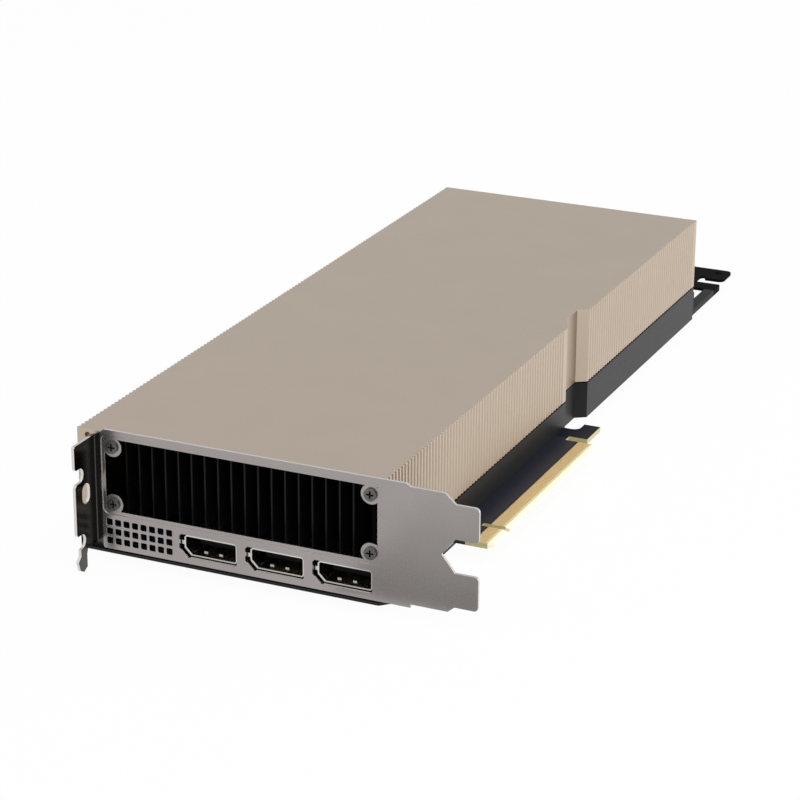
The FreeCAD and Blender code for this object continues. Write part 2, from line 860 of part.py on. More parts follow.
def make_frame():
    """Make the black frame between board and cover, with its skirt and the bracket's posts."""
    body = new_body("mid_frame")
    height = "cover_low - board_height"
    inner = card_outline("frame_wall", "frame_wall", "card_front + front_beam", "card_rear - frame_wall")

    def ring(sketch):
        polygon(sketch, card_outline("0", "0", "card_front", "card_rear"))
        polygon(sketch, inner)

    pad(body, "XY_Plane", BOARD_TOP, height, ring)
    pad(body, "XY_Plane", BASE_LOW, "board_height + skirt_low", skirt_outline)

    def shadow_gap(sketch):
        past = "(0 - overcut)"
        polygon(sketch, card_outline(past, past, "card_front - overcut", "card_rear + overcut"))
        polygon(sketch, card_outline("shadow_depth", "shadow_depth", "card_front", "card_rear"))

    pocket(body, "XY_Plane", "cover_low - shadow_height", "shadow_height", shadow_gap)
    pocket(body, "XZ_Plane", "card_front", "front_beam", lambda sketch: rectangle(
        sketch, "front_left", "front_right", "board_height - overcut", "front_low"))

    def ledges(sketch):
        wall = f"({INNER_RIGHT} + root)"
        rectangle(sketch, f"{INNER_LEFT} - root", LEDGE_LEFT, "ledge_front", "ledge_rear")
        polygon(sketch, [
            (LEDGE_RIGHT, "ledge_front"),
            (wall, "ledge_front"),
            (wall, "recess_front - root"),
            (f"{DEEP} - root", "recess_front + recess_lead / 2"),
            (f"{DEEP} - root", "recess_rear + recess_slope + root"),
            (wall, "recess_rear + recess_slope + root"),
            (wall, "ledge_rear"),
            (LEDGE_RIGHT, "ledge_rear"),
        ])

    pad(body, "XY_Plane", "plate_low - ledge_thick", "ledge_thick", ledges)

    def tie_bosses(sketch):
        for across, along in TIES:
            circle(sketch, across, along, "tie_boss")

    def tie_holes(sketch):
        for across, along in TIES:
            circle(sketch, across, along, "screw_radius")

    pad(body, "XY_Plane", BOARD_TOP, "plate_low - ledge_thick / 2 - board_height", tie_bosses)
    pocket(body, "XY_Plane", BOARD_TOP, "tie_depth", tie_holes)

    def posts(sketch):
        rectangle(sketch, "window_left - post_width", "window_left - fit", "front_low", "post_high")
        rectangle(sketch, "post_right - post_rib", "post_right", "front_low", "post_high")

    def post_webs(sketch):
        for up in ("lug_low", "lug_high"):
            rectangle(sketch, "window_left - post_width", "lug_left", f"{up} - post_rib", f"{up} + post_rib")

    def post_bosses(sketch):
        for up in ("lug_low", "lug_high"):
            circle(sketch, "lug_left", up, "post_boss")
            rectangle(sketch, "lug_right - post_boss", "post_right", f"{up} - post_boss", f"{up} + post_boss")

    def post_holes(sketch):
        for across, up in LUGS:
            circle(sketch, across, up, "screw_radius")

    pad(body, "XZ_Plane", "sheet", "post_plate + card_front - sheet", posts)
    pad(body, "XZ_Plane", "sheet", "post_depth", post_webs)
    pad(body, "XZ_Plane", "sheet", "post_depth", post_bosses)
    pocket(body, "XZ_Plane", "sheet", "post_hole", post_holes)
    through = ("card_rear - frame_wall - overcut", "frame_wall + 2 * overcut")
    pocket(body, "XZ_Plane", *through, lambda sketch: rectangle(
        sketch, "socket_left - fit", "socket_left + socket_width + fit",
        "board_height", "cover_low + overcut"))

    def extender_holes(sketch):
        for across in EXTENDER_SCREWS:
            circle(sketch, across, "extender_screw_height", "screw_radius")

    pocket(body, "XZ_Plane", *through, extender_holes)
    finish(body)


# ---------------------------------------------------------------- heat sink

RETAINER = [
    (f"chip_x {side_x} retainer_span / 2", f"chip_y {side_y} retainer_span / 2")
    for side_x in "-+" for side_y in "-+"
]


def make_heat_sink():
    """Make the heat sink: a plate with a boss over the processor, carrying a row of fins."""
    body = new_body("fin_stack")
    left = f"{INNER_LEFT} + seat_gap"
    right = f"{DEEP} - frame_wall - seat_gap"
    pad(body, "XY_Plane", "plate_low", "plate_high - plate_low", lambda sketch: rectangle(
        sketch, left, right, "plate_front", "fin_rear"))
    pad(body, "XY_Plane", "board_height + carrier_thick + die_thick",
        "plate_low - board_height - carrier_thick - die_thick", lambda sketch: rectangle(
            sketch, "chip_x - boss_width / 2", "chip_x + boss_width / 2",
            "boss_front", "boss_rear"))

    def screw_holes(sketch):
        for across, along in RETAINER:
            circle(sketch, across, along, "stud_radius")

    pocket(body, "XY_Plane", "board_height + carrier_thick + die_thick", "stud_reach", screw_holes)
    first = "fin_centre - fin_pitch * (fin_count - 1) / 2"
    fin = pad(body, "XY_Plane", "plate_high", "fin_high - plate_high", lambda sketch: rectangle(
        sketch, f"{first} - fin_thick / 2", f"{first} + fin_thick / 2", "fin_front", "fin_rear"))
    repeat(body, fin, "X_Axis", "fin_pitch", "fin_count")
    finish(body)


# ---------------------------------------------------------------- processor, memory and power stages

def block_on_board(label, across, along, wide, long_side, low, thick):
    """Make a block centred on a point of the board."""
    return box(label, f"{across} - {wide} / 2", f"{across} + {wide} / 2",
               f"{along} - {long_side} / 2", f"{along} + {long_side} / 2", low, f"{low} + {thick}")


def make_processor():
    """Make the processor's carrier and its die."""
    group("processor_carrier", [block_on_board(
        "carrier_block", "chip_x", "chip_y", "carrier_size", "carrier_size", BOARD_TOP, "carrier_thick")])
    group("processor_die", [block_on_board(
        "die_block", "chip_x", "chip_y", "die_width", "die_length",
        f"{BOARD_TOP} + carrier_thick", "die_thick")])


def memory_places():
    """List where the memory chips stand and whether each lies across the card."""
    reach = "(carrier_size / 2 + memory_gap + memory_width / 2)"
    count = int(cell("memory_row"))
    steps = [f"memory_pitch * {step - (count - 1) / 2}" for step in range(count)]
    places = []
    for side in "-+":
        places += [(f"chip_x {side} {reach}", f"chip_y - memory_shift + {step}", False) for step in steps]
    places += [(f"chip_x + {step}", f"chip_y + {reach}", True) for step in steps]
    return places


def make_memory():
    """Make the memory chips and the soft pads that join them to the heat sink."""
    chips = []
    pads = []
    top = f"{BOARD_TOP} + memory_thick"
    for number, (across, along, turned) in enumerate(memory_places()):
        wide, long_side = ("memory_length", "memory_width") if turned else ("memory_width", "memory_length")
        chips.append(block_on_board(f"memory_{number}", across, along, wide, long_side,
                                    BOARD_TOP, "memory_thick"))
        pads.append(block_on_board(f"memory_pad_{number}", across, along, f"({wide} - 2 * pad_inset)",
                                   f"({long_side} - 2 * pad_inset)", top,
                                   "(carrier_thick + die_thick - memory_thick)"))
    group("memory_chips", chips)
    group("memory_pads", pads)


def bank_row(label, along, wide, long_side, thick):
    """Make one block above each step of a power bank and gather the row."""
    steps = range(int(cell("choke_count")))
    return group(label, [
        block_on_board(f"{label}_{step}", f"(bank_left + choke_pitch * {step})", along,
                       wide, long_side, BOARD_TOP, thick)
        for step in steps])


def make_power_stages():
    """Make the two banks of chokes, driver chips and capacitors, and the pads above the chokes."""
    banks = (("front", "front_bank", "-"), ("rear", "rear_bank", "+"))
    for name, bank, away in banks:
        bank_row(f"chokes_{name}", bank, "choke_size", "choke_size", "choke_height")
        bank_row(f"power_stages_{name}", f"({bank} {away} stage_offset)",
                 "stage_width", "stage_length", "stage_thick")
        bank_row(f"capacitors_{name}", f"({bank} {away} capacitor_offset)",
                 "capacitor_width", "capacitor_length", "capacitor_height")
        group(f"choke_pad_{name}", [box(
            f"choke_pad_{name}_block", "bank_left - choke_size / 2",
            "bank_left + choke_size / 2 + choke_pitch * (choke_count - 1)",
            f"{bank} - choke_size / 2 + pad_inset", f"{bank} + choke_size / 2 - pad_inset",
            f"{BOARD_TOP} + choke_height", "plate_low")])


# ---------------------------------------------------------------- board

def board_outline(sketch):
    """Draw the board: straight left side, connector tab with its key, and the retaining hook."""
    key_front = "(key_to_face - key_width / 2)"
    key_rear = "(key_to_face + key_width / 2)"
    root = "(edge_to_flange - key_depth)"
    shoulder = "(edge_to_flange - shoulder_depth)"
    slot_end = "(edge_to_flange - tab_slot_end)"
    tucked = f"({DEEP} - skirt_wall - fit)"
    polygon(sketch, [
        ("0 - board_left", "card_front + board_gap"),
        (f"{shoulder} - board_corner", "card_front + board_gap"),
        (shoulder, "card_front + board_gap + board_corner"),
        (shoulder, TAB_FRONT),
        ("edge_to_flange - tab_corner", TAB_FRONT),
        (LEADING_EDGE, f"{TAB_FRONT} + tab_corner"),
        (LEADING_EDGE, key_front),
        (root, key_front),
        (root, key_rear),
        (LEADING_EDGE, key_rear),
        (LEADING_EDGE, f"{TAB_REAR} - tab_corner"),
        ("edge_to_flange - tab_corner", TAB_REAR),
        (slot_end, TAB_REAR),
        (slot_end, HOOK_FRONT),
        (HOOK_OUTER, HOOK_FRONT),
        (HOOK_OUTER, f"{HOOK_FRONT} + hook_length"),
        (f"{HOOK_OUTER} - hook_foot", f"{HOOK_FRONT} + hook_length"),
        (f"{HOOK_OUTER} - hook_foot", f"{HOOK_FRONT} + hook_leg"),
        (tucked, f"{HOOK_FRONT} + hook_leg"),
        (tucked, "recess_rear + tuck_start"),
        ("card_right - skirt_wall - fit", "recess_rear + tuck_end"),
        ("card_right - skirt_wall - fit", "card_rear - skirt_wall - fit"),
        ("0 - board_left", "card_rear - skirt_wall - fit"),
    ])


def make_board():
    """Make the board with its screw holes, its bevelled leading edge and its rounded hook."""
    body = new_body("circuit_board")
    pad(body, "XY_Plane", BOARD_LOW, "board_thick", board_outline)
    tab_rear = cell("key_to_face") + cell("key_width") / 2 + cell("far_block")
    hook_front = tab_rear + cell("tab_slot")
    foot = cell("edge_to_flange") - cell("hook_setback") - cell("hook_foot")
    round_edges(body, 2, [(foot, hook_front + cell("hook_leg"))], "hook_fillet")

    def holes(sketch):
        for across, along in TIES:
            circle(sketch, across, along, "screw_radius + slack")
        for across, along in RETAINER:
            circle(sketch, across, along, "stud_radius + slack")

    pocket(body, "XY_Plane", BOARD_LOW, "board_thick", holes)

    def bevels(sketch):
        reach = "edge_to_flange - bevel_length"
        slope = "bevel_depth * (bevel_length + overcut) / bevel_length"
        for face, inward in ((BOARD_TOP, "-"), (BOARD_LOW, "+")):
            outward = "+" if inward == "-" else "-"
            polygon(sketch, [
                (reach, face),
                (f"{LEADING_EDGE} + overcut", f"{face} {inward} {slope}"),
                (f"{LEADING_EDGE} + overcut", f"{face} {outward} overcut"),
                (reach, f"{face} {outward} overcut"),
            ])

    pocket(body, "XZ_Plane", TAB_FRONT, f"{TAB_REAR} - {TAB_FRONT}", bevels)
    finish(body)


def make_contacts():
    """Make the gold contact fingers, one sub-part on each face of the connector."""
    far_end = "(edge_to_flange - bevel_length - contact_setback)"
    near_start = "(key_to_face - key_width / 2 - key_margin)"
    far_start = "(key_to_face + key_width / 2 + key_margin)"
    faces = (("edge_contacts_top", BOARD_TOP), ("edge_contacts_bottom", f"{BOARD_LOW} - contact_thick"))
    for label, low in faces:
        body = new_body(label)
        near = pad(body, "XY_Plane", low, "contact_thick", lambda sketch: rectangle(
            sketch, f"{far_end} - contact_length", far_end,
            f"{near_start} - contact_width - contact_pitch * (near_contacts - 1)",
            f"{near_start} - contact_pitch * (near_contacts - 1)"))
        repeat(body, near, "Y_Axis", "contact_pitch", "near_contacts")
        far = pad(body, "XY_Plane", low, "contact_thick", lambda sketch: rectangle(
            sketch, f"{far_end} - contact_length", far_end, far_start, f"{far_start} + contact_width"))
        repeat(body, far, "Y_Axis", "contact_pitch", "far_contacts")
        finish(body)


# ---------------------------------------------------------------- underside

def backplate_outline(sketch, front, inset):
    """Draw the backplate from its front edge, its other edges moved inwards by a formula."""
    right = f"backplate_right - {inset}"
    tucked = f"{DEEP} - skirt_wall - fit - {inset}"
    rear_right = f"card_right - skirt_wall - fit - {inset}"
    polygon(sketch, [
        (f"{inset} - board_left", front),
        (f"{right} - backplate_corner", front),
        (right, f"{front} + backplate_corner"),
        (right, f"recess_front - backplate_step - {inset}"),
        (tucked, f"recess_front - backplate_step - {inset}"),
        (tucked, f"recess_rear + tuck_start + {inset}"),
        (rear_right, f"recess_rear + tuck_end + {inset}"),
        (rear_right, f"card_rear - skirt_wall - fit - {inset}"),
        (f"{inset} - board_left", f"card_rear - skirt_wall - fit - {inset}"),
    ])


def make_backplate():
    """Make the black plate under the board: a flat sheet with a rim that meets the board."""
    body = new_body("backplate")
    pad(body, "XY_Plane", BASE_LOW, "backplate_thick", lambda sketch: backplate_outline(
        sketch, "backplate_front", "0"))

    def rim(sketch):
        backplate_outline(sketch, "card_front + board_gap", "0")
        backplate_outline(sketch, "card_front + board_gap + backplate_rim", "backplate_rim")

    pad(body, "XY_Plane", BASE_LOW, f"{BOARD_LOW} + skirt_low", rim)

    def spacers(sketch):
        for across, along in TIES:
            rectangle(sketch, f"{across} - tie_boss", f"{across} + tie_boss",
                      f"{along} - tie_boss", f"{along} + tie_boss")

    def heads(sketch):
        for across, along in TIES:
            circle(sketch, across, along, "tie_head + slack")

    def shanks(sketch):
        for across, along in TIES:
            circle(sketch, across, along, "screw_radius + slack")

    def windows(sketch):
        for across, along in RETAINER:
            circle(sketch, across, along, "stud_head + fit")

    pad(body, "XY_Plane", BASE_LOW, f"{BOARD_LOW} + skirt_low", spacers)
    pocket(body, "XY_Plane", BASE_LOW, "tie_head_height", heads)
    pocket(body, "XY_Plane", BASE_LOW, f"{BOARD_LOW} + skirt_low", shanks)
    pocket(body, "XY_Plane", BASE_LOW, "backplate_thick", windows)
    finish(body)


def make_backplate_screws():
    """Make the flat-headed screws that tie backplate and board to the frame."""
    screws = []
    for number, (across, along) in enumerate(TIES):
        head = rod(f"tie_head_{number}", across, along, BASE_LOW, "tie_head", "tie_head_height")
        shank = rod(f"tie_shank_{number}", across, along, BASE_LOW, "screw_radius",
                    "skirt_low + board_height + tie_depth * screw_fill")
        drive = hexagon(f"tie_drive_{number}", across, along, BASE_LOW, "tie_head / 2",
                        "tie_head_height * drive_share")
        screws.append(cut(f"tie_screw_{number}", fuse(f"tie_blank_{number}", [head, shank]), drive))
    group("backplate_screws", screws)


def make_retainer():
    """Make the cross-shaped spring plate that clamps the heat sink, and its four screws."""
    low = f"({BOARD_LOW} - retainer_gap - retainer_thick)"
    arms = []
    for number, turn in enumerate((45, -45)):
        length = "(retainer_span * sqrt(2) + retainer_arm)"
        arm = box(f"retainer_arm_{number}", f"0 - {length} / 2", f"{length} / 2",
                  "0 - retainer_arm / 2", "retainer_arm / 2", low, f"{low} + retainer_thick")
        turned = doc.addObject("Part::Compound", f"retainer_turned_{number}")
        turned.Links = [arm]
        turned.Placement.Rotation = FreeCAD.Rotation(FreeCAD.Vector(0, 0, 1), turn)
        turned.setExpression("Placement.Base.x", formula("chip_x"))
        turned.setExpression("Placement.Base.y", formula("chip_y"))
        arms.append(turned)
    holes = []
    screws = []
    for number, (across, along) in enumerate(RETAINER):
        holes.append(rod(f"retainer_hole_{number}", across, along, f"{low} - overcut",
                         "stud_radius + slack", "retainer_thick + 2 * overcut"))
        head = rod(f"stud_head_{number}", across, along, BASE_LOW, "stud_head", f"{low} + skirt_low")
        shank = rod(f"stud_shank_{number}", across, along, BASE_LOW, "stud_radius",
                    "skirt_low + board_height + carrier_thick + die_thick + stud_reach * screw_fill")
        drive = hexagon(f"stud_drive_{number}", across, along, BASE_LOW, "stud_head / 2",
                        f"({low} + skirt_low) * drive_share")
        screws.append(cut(f"stud_{number}", fuse(f"stud_blank_{number}", [head, shank]), drive))
    finish(cut("retainer_plate", fuse("retainer_blank", arms), fuse("retainer_holes", holes)))
    group("retainer_screws", screws)


# ---------------------------------------------------------------- display sockets

def make_display_socket(number):
    """Make one display socket: bright shell, black insert with its blade, and the contacts."""
    centre = f"(port_centre + {number} * port_pitch)"
    middle = f"({BOARD_TOP} + shell_height / 2)"
    front = "(sheet + shell_gap)"
    inner_low = f"({BOARD_TOP} + shell_wall)"
    inner_high = f"({BOARD_TOP} + shell_height - shell_wall)"
    outer_left = f"{centre} - shell_width / 2"
    outer_right = f"{centre} + shell_width / 2"
    inner_left = f"{outer_left} + shell_wall"
    inner_right = f"{outer_right} - shell_wall"
    name = number + 1

    shell = new_body(f"display_shell_{name}")

    def inside(sketch):
        port_outline(sketch, inner_left, inner_right, inner_low, inner_high,
                     "shell_chamfer", "port_corner / 2")

    def tube(sketch):
        port_outline(sketch, outer_left, outer_right, BOARD_TOP, f"{BOARD_TOP} + shell_height",
                     "shell_chamfer", "port_corner")
        inside(sketch)

    def springs(sketch):
        for side in "-+":
            middle_x = f"{centre} - spring_shift {side} spring_offset"
            rectangle(sketch, f"{middle_x} - spring_width / 2", f"{middle_x} + spring_width / 2",
                      f"{front} + spring_front", f"{front} + spring_front + spring_length")

    pad(shell, "XZ_Plane", front, "shell_depth", tube)
    pad(shell, "XY_Plane", f"{BOARD_TOP} + shell_wall / 2", "shell_wall / 2 + spring_height", springs)
    pad(shell, "XY_Plane", f"{BOARD_TOP} + finger_low", "finger_height", lambda sketch: rectangle(
        sketch, f"{outer_left} - finger_reach", f"{outer_left} + shell_wall / 2",
        front, f"{front} + finger_reach"))
    finish(shell)

    insert = new_body(f"display_insert_{name}")
    pad(insert, "XZ_Plane", f"{front} + shell_depth - tongue_block", "tongue_block", inside)
    pad(insert, "XZ_Plane", f"{front} + blade_front", "shell_depth - tongue_block - blade_front",
        lambda sketch: rectangle(
            sketch, f"{centre} - blade_width / 2", f"{centre} + blade_width / 2",
            f"{middle} - blade_thick / 2", f"{middle} + blade_thick / 2"))
    finish(insert)

    pins = []
    count = int(cell("pin_count"))
    for face, low in (("upper", f"{middle} + blade_thick / 2"),
                      ("lower", f"{middle} - blade_thick / 2 - pin_thick")):
        for step in range(count):
            across = f"({centre} + pin_pitch * {step - (count - 1) / 2})"
            pins.append(box(f"pin_{face}_{name}_{step}",
                            f"{across} - pin_width / 2", f"{across} + pin_width / 2",
                            f"{front} + blade_front + pin_setback", f"{front} + shell_depth - tongue_block",
                            low, f"{low} + pin_thick"))
    group(f"display_contacts_{name}", pins)


# ---------------------------------------------------------------- power socket

def make_power_socket():
    """Make the eight-way power socket at the rear, with its round-cornered cells and its pins."""
    body = new_body("power_socket")
    front = "(card_rear - socket_depth)"
    columns = int(cell("socket_columns"))
    rows = int(cell("socket_rows"))
    top = f"({BOARD_TOP} + socket_height)"
    pad(body, "XZ_Plane", front, "socket_depth", lambda sketch: rectangle(
        sketch, "socket_left", "socket_left + socket_width", BOARD_TOP, top))

    def cell_centre(column, row):
        across = f"(socket_left + socket_width / 2 + socket_pitch * {column - (columns - 1) / 2})"
        up = f"({BOARD_TOP} + socket_height / 2 + socket_pitch * {row - (rows - 1) / 2})"
        return across, up

    def cells(sketch):
        for column in range(columns):
            for row in range(rows):
                octagon(sketch, *cell_centre(column, row), "socket_cell / 2", "socket_wall / 2")

    pocket(body, "XZ_Plane", f"{front} + socket_floor", "socket_depth", cells)
    finish(body)
    pins = []
    for column in range(columns):
        for row in range(rows):
            across, up = cell_centre(column, row)
            pins.append(box(f"power_pin_{column}_{row}",
                            f"{across} - socket_pin / 2", f"{across} + socket_pin / 2",
                            f"{front} + socket_floor", f"{front} + socket_floor + socket_pin_length",
                            f"{up} - socket_pin / 2", f"{up} + socket_pin / 2"))
    group("power_pins", pins)


# ---------------------------------------------------------------- rear extender

EXTENDER_SCREWS = ["extender_left + extender_screw_inset", "card_right - extender_screw_inset"]


def make_extender():
    """Make the sheet-metal extender that reaches a full-length card guide."""
    body = new_body("rear_extender")
    low = f"({BOARD_TOP} - extender_sheet)"
    right = "card_right"
    bar_rear = "card_rear + window_end + cross_bar"
    arm_front = "extender_rear - arm_width"
    slot_end = f"({right} - arm_slot_end)"
    pad(body, "XY_Plane", low, "extender_sheet", lambda sketch: polygon(sketch, [
        ("extender_left", "card_rear"),
        (right, "card_rear"),
        (right, f"{bar_rear} - bar_corner"),
        (f"{right} - bar_corner", bar_rear),
        (slot_end, bar_rear),
        (f"{slot_end} - nook", f"{bar_rear} + nook"),
        (f"{slot_end} - nook", f"{arm_front} + nook"),
        (slot_end, f"{arm_front} + 2 * nook"),
        (f"{slot_end} + nook", f"{arm_front} + nook"),
        (f"{slot_end} + nook", arm_front),
        (f"{right} - arm_setback", arm_front),
        (f"{right} - arm_setback", "extender_rear"),
        ("extender_left + extender_slope", "extender_rear"),
        ("extender_left", "extender_rear - extender_taper"),
    ]))
    round_edges(body, 2, [
        (cell("card_right") - cell("arm_setback"), cell("extender_rear") - back * cell("arm_width"))
        for back in (0, 1)
    ], "arm_corner")
    pad(body, "XY_Plane", f"{low} - extender_lip", "extender_lip + extender_sheet", lambda sketch: rectangle(
        sketch, f"{right} - extender_sheet", right, "card_rear + extender_sheet", f"{bar_rear} - bar_corner"))
    pad(body, "XZ_Plane", "card_rear", "extender_sheet", lambda sketch: rectangle(
        sketch, "extender_left", right, f"{low} - extender_lip", f"{low} + upright"))

    def windows(sketch):
        inner = f"{right} - extender_rail"
        rectangle(sketch, "extender_middle + extender_rail / 2", inner,
                  "card_rear + window_start", "card_rear + window_end")
        rectangle(sketch, "extender_left + extender_rail * 2", "extender_middle - extender_rail / 2",
                  "card_rear + window_start", "card_rear + window_end - window_short")

    pocket(body, "XY_Plane", low, "extender_sheet", windows)

    def arm_hole(sketch):
        across = f"({right} - arm_hole_inset)"
        along = "(extender_rear - arm_hole_setback)"
        oval(sketch, across, along, "arm_hole_width", "arm_hole_length", lying=True)

    pocket(body, "XY_Plane", low, "extender_sheet", arm_hole)

    def screw_holes(sketch):
        for across in EXTENDER_SCREWS:
            circle(sketch, across, "extender_screw_height", "screw_radius + slack")

    pocket(body, "XZ_Plane", "card_rear", "extender_sheet", screw_holes)
    finish(body)


def make_extender_screws():
    """Make the two screws that hold the extender to the frame's rear wall, driven along -Y."""
    screws = []
    for number, across in enumerate(EXTENDER_SCREWS):
        face = "card_rear + extender_sheet"
        head = rod(f"extender_head_{number}", across, face, "extender_screw_height",
                   "pan_radius", "pan_height", "Y")
        shank = rod(f"extender_shank_{number}", across, f"{face} - extender_sheet - frame_wall",
                    "extender_screw_height", "screw_radius",
                    "extender_sheet + frame_wall + pan_height / 2", "Y")
        blank = fuse(f"extender_blank_{number}", [head, shank])
        slots = []
        for name, wide, tall in (("flat", "drive_length", "drive_width"),
                                 ("upright", "drive_width", "drive_length")):
            slots.append(box(
                f"extender_{name}_{number}", f"{across} - {wide} / 2", f"{across} + {wide} / 2",
                f"{face} + pan_height - drive_depth", f"{face} + pan_height + overcut",
                f"extender_screw_height - {tall} / 2", f"extender_screw_height + {tall} / 2"))
        screws.append(cut(f"extender_screw_{number}", blank, fuse(f"extender_cross_{number}", slots)))
    group("extender_screws", screws)


# ---------------------------------------------------------------- run

make_bracket()
make_bracket_screws()
make_cover()
make_frame()
make_heat_sink()
make_processor()
make_memory()
make_power_stages()
make_board()
make_contacts()
make_backplate()
make_backplate_screws()
make_retainer()
for socket_number in range(int(cell("port_count"))):
    make_display_socket(socket_number)
make_power_socket()
make_extender()
make_extender_screws()

doc.recompute()
for item in doc.Objects:
    if "Invalid" in item.State or "Error" in item.State:
        raise RuntimeError(f"{item.Label} did not compute: {item.State}")
for piece in finished:
    shape = piece.Shape
    if shape.isNull() or not shape.isValid():
        raise RuntimeError(f"{piece.Label} has no valid shape")
    shape.exportStep(f"parts/{piece.Label}.step")
    print(f"{piece.Label}: {len(shape.Solids)} solid(s), {shape.Volume:.1f} mm3")
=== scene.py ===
# %% [markdown]
# # A passive accelerator card
#
# This lesson dresses a plug-in card for a server: a fluted champagne cover over a black frame, a
# nickel-plated bracket with three display sockets, a gold edge connector and a black extender.
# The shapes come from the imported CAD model, which stays where it is. Blender adds the finishes,
# the floor, the light and the camera.

import math

import bmesh
import bpy
from mathutils import Matrix, Vector


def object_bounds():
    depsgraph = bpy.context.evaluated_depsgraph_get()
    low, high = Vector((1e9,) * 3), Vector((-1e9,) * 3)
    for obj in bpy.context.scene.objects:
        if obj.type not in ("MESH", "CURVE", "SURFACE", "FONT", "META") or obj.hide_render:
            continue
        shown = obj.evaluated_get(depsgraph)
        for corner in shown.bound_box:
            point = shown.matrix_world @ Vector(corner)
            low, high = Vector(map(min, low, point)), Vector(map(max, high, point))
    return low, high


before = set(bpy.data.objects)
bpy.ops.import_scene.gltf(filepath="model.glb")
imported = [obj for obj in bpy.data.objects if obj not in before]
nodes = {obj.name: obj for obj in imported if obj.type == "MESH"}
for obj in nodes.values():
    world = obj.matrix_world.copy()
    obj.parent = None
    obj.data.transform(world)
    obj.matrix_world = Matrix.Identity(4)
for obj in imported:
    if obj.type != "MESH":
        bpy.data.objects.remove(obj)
cad_box = [list(corner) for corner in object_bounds()]
size_mm = [round(1000 * (high - low), 2) for low, high in zip(*cad_box)]
print("nodes:", len(nodes), "overall size in mm:", size_mm)

# %% [markdown]
# ## Two helpers
#
# Colours are written as the sRGB hex values that one sees in a paint program, but Blender's
# shaders add light in linear values, so one function converts them. A material is a graph of
# nodes, and a second function adds a node, sets its properties and fills or links its inputs. A
# Mix node keeps a set of inputs for colours and another for plain numbers, with the same names, so
# these are told apart by their places in its lists.

# %% Colour and node helpers
colour_a, colour_b, colour_out = 6, 7, 2
number_a, number_b, number_out = 2, 3, 0


def linear(code):
    """Turn an sRGB hex colour into the linear values that the shaders use."""
    channels = [int(code[start:start + 2], 16) / 255 for start in (1, 3, 5)]
    bent = [c / 12.92 if c <= 0.04045 else ((c + 0.055) / 1.055) ** 2.4 for c in channels]
    return (*bent, 1.0)


def add(tree, kind, inputs=None, **properties):
    """Add a node; an input is given a value, or an output of another node to link."""
    node = tree.nodes.new(kind)
    for name, value in properties.items():
        setattr(node, name, value)
    for name, value in (inputs or {}).items():
        if isinstance(value, bpy.types.NodeSocket):
            tree.links.new(value, node.inputs[name])
        else:
            node.inputs[name].default_value = value
    return node


print("champagne in linear light:", [round(value, 3) for value in linear("#C2B2A1")])

# %% [markdown]
# ## What every real surface has
#
# No coated or plated sheet is one flat colour. It has a faint cloudiness over centimetres, a fine
# grain that breaks up its gloss, and edges that are never quite sharp. All three can be made
# without pictures: noise in real millimetres for the first two, and a Bevel node, which rounds the
# shading near an edge, for the third. The function below lays them under any finish, and returns
# what a special finish needs to add to it.

# %% A base for every finish
gloss_sway = 0.12


def surface(name, dark, light, metallic, roughness, grain, relief, edge=0.12, cloud=18.0):
    """Make a finish; grain, relief, edge and cloud are real sizes in millimetres."""
    material = bpy.data.materials.new(name)
    material.use_nodes = True
    tree = material.node_tree
    shader = tree.nodes["Principled BSDF"]
    where = add(tree, "ShaderNodeTexCoord").outputs["Object"]
    clouds = add(tree, "ShaderNodeTexNoise", {"Vector": where, "Scale": 1000 / cloud, "Detail": 3.0})
    grains = add(tree, "ShaderNodeTexNoise", {"Vector": where, "Scale": 1000 / grain, "Detail": 2.0})
    blend = add(tree, "ShaderNodeMix", {
        "Factor": clouds.outputs["Fac"], colour_a: linear(dark), colour_b: linear(light)}, data_type="RGBA")
    # Noise keeps mostly to the middle of its range, from 0.3 to 0.7
    gloss = add(tree, "ShaderNodeMapRange", {
        "Value": grains.outputs["Fac"], "From Min": 0.3, "From Max": 0.7,
        "To Min": roughness * (1 - gloss_sway), "To Max": roughness * (1 + gloss_sway)})
    softened = add(tree, "ShaderNodeBevel", {"Radius": edge / 1000}, samples=4)
    bump = add(tree, "ShaderNodeBump", {
        "Height": grains.outputs["Fac"], "Distance": relief / 1000, "Strength": 0.6,
        "Normal": softened.outputs["Normal"]})
    tree.links.new(blend.outputs[colour_out], shader.inputs["Base Color"])
    tree.links.new(gloss.outputs["Result"], shader.inputs["Roughness"])
    tree.links.new(bump.outputs["Normal"], shader.inputs["Normal"])
    shader.inputs["Metallic"].default_value = metallic
    return {"material": material, "tree": tree, "shader": shader, "where": where,
            "colour": blend.outputs[colour_out]}


def dress(finish, *names):
    """Give CAD nodes a finish."""
    for name in names:
        slots = nodes[name].data.materials
        slots.clear()
        slots.append(finish["material"])
    print(f"{finish['material'].name}: {', '.join(names)}")


# %% [markdown]
# ## Finishes that differ from place to place
#
# A real piece isn't alike all over: a cut edge is raw. A studio of a few lamps and sheets also lights some
# places more than it should, so there light and shade are painted into the finish: painted shade inside a
# recess, painted highlights, and sheens turned down. This is a choice for the looks and says nothing of the
# real coating. Such places are told by where they lie and by which way their faces look, so they need no
# pictures and no extra faces. Each test compares a coordinate in metres, or a part of the face's normal, with
# a limit. The mask is 1 where all its tests hold and 0 elsewhere, and with it a finish gets another colour or
# another sheen there.

# %% Masks
# A part of the normal is 1 where the face looks straight along that axis, and 0 where it lies along it
nearly_straight = 0.98
mostly_straight = 0.9
half_turned = 0.5


def place_of(finish):
    """Return the X, Y and Z of a point on the piece."""
    return add(finish["tree"], "ShaderNodeSeparateXYZ", {"Vector": finish["where"]}).outputs


def facing_of(finish):
    """Return the X, Y and Z of the face's normal, before the Bevel node rounds it."""
    normal = add(finish["tree"], "ShaderNodeNewGeometry").outputs["True Normal"]
    return add(finish["tree"], "ShaderNodeSeparateXYZ", {"Vector": normal}).outputs


